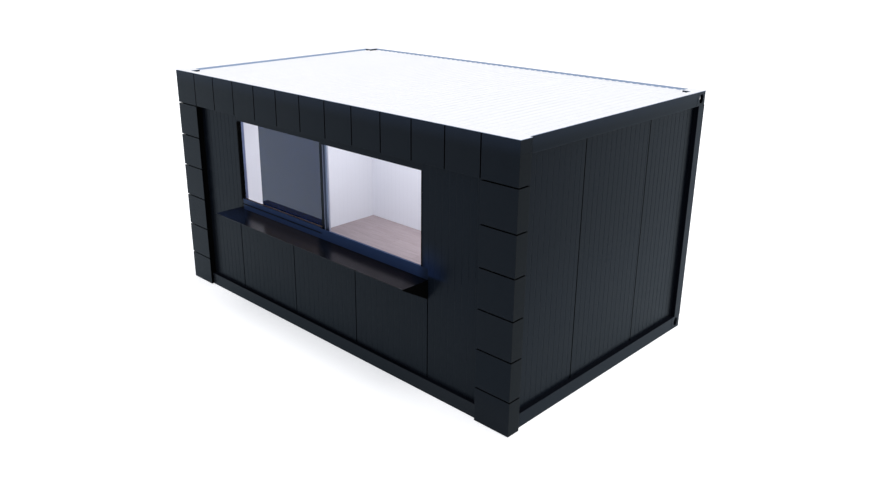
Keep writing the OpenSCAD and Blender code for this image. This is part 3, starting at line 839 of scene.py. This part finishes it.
random.seed(7)
points, faces, numbers = [], [], []
row_y = floor_low.y
row_start = 0.0
while row_y < floor_high.y - LEAST:
    row_end = min(row_y + BOARD_WIDTH, floor_high.y)
    board_x = floor_low.x - row_start
    while board_x < floor_high.x - LEAST:
        left = max(board_x, floor_low.x) + BOARD_GAP / 2
        right = min(board_x + BOARD_LENGTH, floor_high.x) - BOARD_GAP / 2
        board(points, faces, left, right, row_y + BOARD_GAP / 2, row_end - BOARD_GAP / 2)
        numbers += [random.random()] * FACES_PER_BOARD
        board_x += BOARD_LENGTH
    row_start = (row_start + ROW_SHIFT) % BOARD_LENGTH
    row_y += BOARD_WIDTH
floor_boards = new_piece("floor_boards", points, faces, laminate)
board_attribute = floor_boards.data.attributes.new("board", "FLOAT", "FACE")
board_attribute.data.foreach_set("value", numbers)
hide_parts("floor_covering")
print(len(numbers) // FACES_PER_BOARD, "floor boards")

# %% [markdown]
# The inner edge of the window opening is trimmed with a bright metal strip, which shows as
# a thin pale line inside the dark reveal. It is sheet of a constant section, so the sweep
# draws it too: up both jambs and along the head.

# %% Inner trim of the window opening
TRIM_WIDTH = 0.030
TRIM_SHEET = 0.0022
JAMB = 0.018

jamb_low, jamb_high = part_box("window_jambs")
head_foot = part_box("window_head")[0].z
trim_y = jamb_high.y - TRIM_WIDTH
opening_left, opening_right = jamb_low.x + JAMB, jamb_high.x - JAMB
trim_profile = [(0.0, 0.0), (TRIM_WIDTH, 0.0), (TRIM_WIDTH, TRIM_SHEET), (0.001, TRIM_SHEET), (0.0, 0.001)]
points, faces = [], []
for inward, edge in ((X, opening_left), (-X, opening_right)):
    swept(points, faces, trim_profile, (edge, trim_y, jamb_low.z), (edge, trim_y, head_foot), Y, inward)
swept(points, faces, trim_profile, (opening_left, trim_y, head_foot),
    (opening_right, trim_y, head_foot), Y, -Z)
new_piece("window_inner_trim", points, faces, bright_trim)
print("trim strips:", len(faces), "faces")

# %% [markdown]
# The groove along the front of the sill holds a round black sealing cord. A cord is a
# circle swept along the groove, a little thinner than the groove is wide, and it runs as
# far as the track of the pane.

# %% Cord in the groove of the sill
CORD = 0.0036
CORD_INSET = 0.0055
CORD_SIDES = 16

cord_y = sill_low.y + CORD_INSET
turns = [math.tau * i / CORD_SIDES for i in range(CORD_SIDES)]
cord_profile = [(CORD * math.cos(turn), CORD * math.sin(turn)) for turn in turns]
track_low, track_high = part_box("pane_track")
points, faces = [], []
swept(points, faces, cord_profile, (track_low.x, cord_y, groove_z), (track_high.x, cord_y, groove_z), Y, Z)
new_piece("sill_groove_cord", points, faces, black_trim)
print("cord", round(track_high.x - track_low.x, 3), "m long")

# %% [markdown]
# The castings are welded to rails and posts. A weld is a row of small overlapping ripples.
# A bump could hint at them, but a bead also stands out from the steel, so it is built as a
# half-round tube whose radius rises and falls along its length.

# %% One weld bead
BEAD = 0.0032
RIPPLE = 0.0042
STEPS_PER_RIPPLE = 4
RING = 7


def bead(points, faces, start, end, outward):
    start, end, outward = Vector(start), Vector(end), Vector(outward)
    across = (end - start).normalized().cross(outward)
    steps = max(8, int((end - start).length / (RIPPLE / STEPS_PER_RIPPLE)))
    first = len(points)
    for k in range(steps + 1):
        ripple = abs(math.sin(math.pi * k / STEPS_PER_RIPPLE))
        swell = BEAD * (0.78 + 0.22 * ripple) * (1 + random.uniform(-0.06, 0.06))
        if k in (0, steps):
            swell *= 0.3
        centre = start.lerp(end, k / steps)
        for i in range(RING):
            turn = math.pi * i / (RING - 1)
            points.append(centre + across * swell * math.cos(turn) + outward * swell * 0.6 * math.sin(turn))
    for k in range(steps):
        for i in range(RING - 1):
            a = first + k * RING + i
            faces.append((a, a + RING, a + RING + 1, a + 1))


print("a bead is", 2 * BEAD, "m wide")

# %% Weld beads at the corner castings
CASTING_WIDTH = 0.165
SEAM_END = 0.004
BEAD_END = 0.006

random.seed(11)
points, faces = [], []
casting_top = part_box("base_corner_castings")[1].z
roof_low, roof_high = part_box("roof_corner_castings")
for side in (-1, 1):
    end_x = side * frame_end
    for seam in (frame_back - CASTING_WIDTH, frame_front + CASTING_WIDTH):
        for low, high in ((SEAM_END, casting_top), (roof_low.z, roof_high.z - SEAM_END)):
            bead(points, faces, (end_x, seam, low), (end_x, seam, high), side * X)
    for level in (casting_top, roof_low.z):
        bead(points, faces, (end_x, frame_back - post_width, level),
            (end_x, frame_back - BEAD_END, level), side * X)
new_piece("casting_weld_beads", points, faces, frame_coat, smooth=True)
print("weld beads:", len(faces), "faces")

# %% [markdown]
# The camera stands to the right of the front, a little above the roof. Its place, height
# angle, lens and shift were fitted to six outline edges of the frame in the photograph,
# with its turn set to 45 degrees. Such a fit also gives the proportions of the frame, but a
# picture has no scale, so the size itself follows from the usual height of such a cabin.

# %% Camera
CAMERA_AT = Vector((6.1552, -6.1401, 3.9926))
AZIMUTH = math.radians(45.0)
ELEVATION = math.radians(19.345)
LENS = 33.393
SHIFT = (0.0242, -0.0211)

scene = bpy.context.scene
camera_data = bpy.data.cameras.new("photo_camera")
camera_data.sensor_width = 36.0
camera_data.lens = LENS
camera_data.shift_x, camera_data.shift_y = SHIFT
camera_data.clip_end = 400.0
camera = bpy.data.objects.new("photo_camera", camera_data)
scene.collection.objects.link(camera)
rightward = Vector((math.cos(AZIMUTH), math.sin(AZIMUTH), 0.0))
level_back = Vector((math.sin(AZIMUTH), -math.cos(AZIMUTH), 0.0))
backward = level_back * math.cos(ELEVATION) + Z * math.sin(ELEVATION)
turned = Matrix((rightward, backward.cross(rightward), backward)).transposed().to_4x4()
camera.matrix_world = Matrix.Translation(CAMERA_AT) @ turned
scene.camera = camera
print("camera", tuple(round(v, 3) for v in camera.matrix_world.translation))

# %% [markdown]
# Outdoors the roof gets the sun and the walls mostly get the cool sky, and the picture
# shows just that: a white roof over blue-grey walls. A pale blue world lights the part.
# The same world would colour the background, so to the camera, and in mirrors and glass,
# it is plain white.

# %% World
SKY_LOW = (0.42, 0.44, 0.49, 1.0)
SKY_HIGH = (0.38, 0.43, 0.54, 1.0)


def seen(graph):
    """One for rays of the camera, of mirrors and of glass, and zero for lighting rays."""
    camera_ray = graph.node("ShaderNodeLightPath", out="Is Camera Ray")
    mirror_ray = graph.node("ShaderNodeLightPath", out="Is Glossy Ray")
    glass_ray = graph.node("ShaderNodeLightPath", out="Is Transmission Ray")
    return camera_ray.larger(mirror_ray).larger(glass_ray)


scene.view_settings.view_transform = "Standard"
world = bpy.data.worlds.new("pale_studio")
world.use_nodes = True
scene.world = world
sky = Graph(world.node_tree)
height = sky.node("ShaderNodeTexCoord", out="Generated").along("Z")
daylight = sky.mix(height, SKY_LOW, SKY_HIGH)
backdrop = sky.node("ShaderNodeBackground", None, {"Color": sky.mix(seen(sky), daylight, grey(1.0))})
sky.node("ShaderNodeOutputWorld", None, {"Surface": backdrop})
print("world ready")

# %% [markdown]
# A wide soft sun nearly overhead makes the roof white without a hard shadow. The room is
# bright in the photograph, so a wide lamp hangs under the ceiling, towards the back wall
# that the window shows. It is hidden from mirrors and glass, because the real cabin shows
# no lamp there.

# %% Sun and room lamp
SUN_AT = (1.0, 0.8, 9.0)
SUN_COLOUR = (1.0, 0.97, 0.93)
SUN_STRENGTH = 2.0
SUN_SPREAD = math.radians(40)
ROOM_AT = (0.1, 0.45, 2.42)
ROOM_COLOUR = (0.97, 0.98, 1.0)
ROOM_POWER = 88.0
ROOM_SIZE = (3.9, 1.7)


def lamp(name, kind, energy, colour, at, towards, **settings):
    data = bpy.data.lights.new(name, kind)
    data.energy = energy
    data.color = colour
    for key, value in settings.items():
        setattr(data, key, value)
    made = bpy.data.objects.new(name, data)
    scene.collection.objects.link(made)
    direction = Vector(towards) - Vector(at)
    made.matrix_world = Matrix.Translation(at) @ direction.to_track_quat("-Z", "Y").to_matrix().to_4x4()
    return made


lamp("soft_sun", "SUN", SUN_STRENGTH, SUN_COLOUR, SUN_AT, (0.0, 0.0, 0.0), angle=SUN_SPREAD)
room_foot = (ROOM_AT[0], ROOM_AT[1], 0.0)
room_light = lamp("room_light", "AREA", ROOM_POWER, ROOM_COLOUR, ROOM_AT, room_foot,
    shape="RECTANGLE", size=ROOM_SIZE[0], size_y=ROOM_SIZE[1])
room_light.visible_glossy = False
room_light.visible_transmission = False
print("sun and room lamp ready")

# %% [markdown]
# The part stands on a pale studio floor. It takes the soft shadow of the container, and a
# glow that lights nothing lifts the rest of it to white for the camera. In the gloss of
# the dark walls it shows a little cooler, as ground under an open sky does.

# %% Studio floor
FLOOR_REACH = 150.0
FLOOR_GLOW = 0.62
MIRRORED_FLOOR = (0.73, 1.0, 1.19, 1.0)

pale_floor = Finish("pale_floor", {"Specular IOR Level": 0.0, "Roughness": 0.9})
pale_floor.paint(grey(0.75))
pale_floor.set({"Emission Strength": FLOOR_GLOW})
in_gloss = pale_floor.node("ShaderNodeLightPath", out="Is Glossy Ray")
floor_glow = pale_floor.mix(in_gloss, grey(1.0), MIRRORED_FLOOR)
pale_floor.set({"Emission Color": pale_floor.mix(seen(pale_floor), grey(0.0), floor_glow)})

floor_mesh = bpy.data.meshes.new("studio_floor")
corners = [(x * FLOOR_REACH, y * FLOOR_REACH, 0.0) for x, y in ((-1, -1), (1, -1), (1, 1), (-1, 1))]
floor_mesh.from_pydata(corners, [], [(0, 1, 2, 3)])
floor_mesh.materials.append(pale_floor.material)
studio_floor = bpy.data.objects.new("studio_floor", floor_mesh)
scene.collection.objects.link(studio_floor)
print("floor ready")
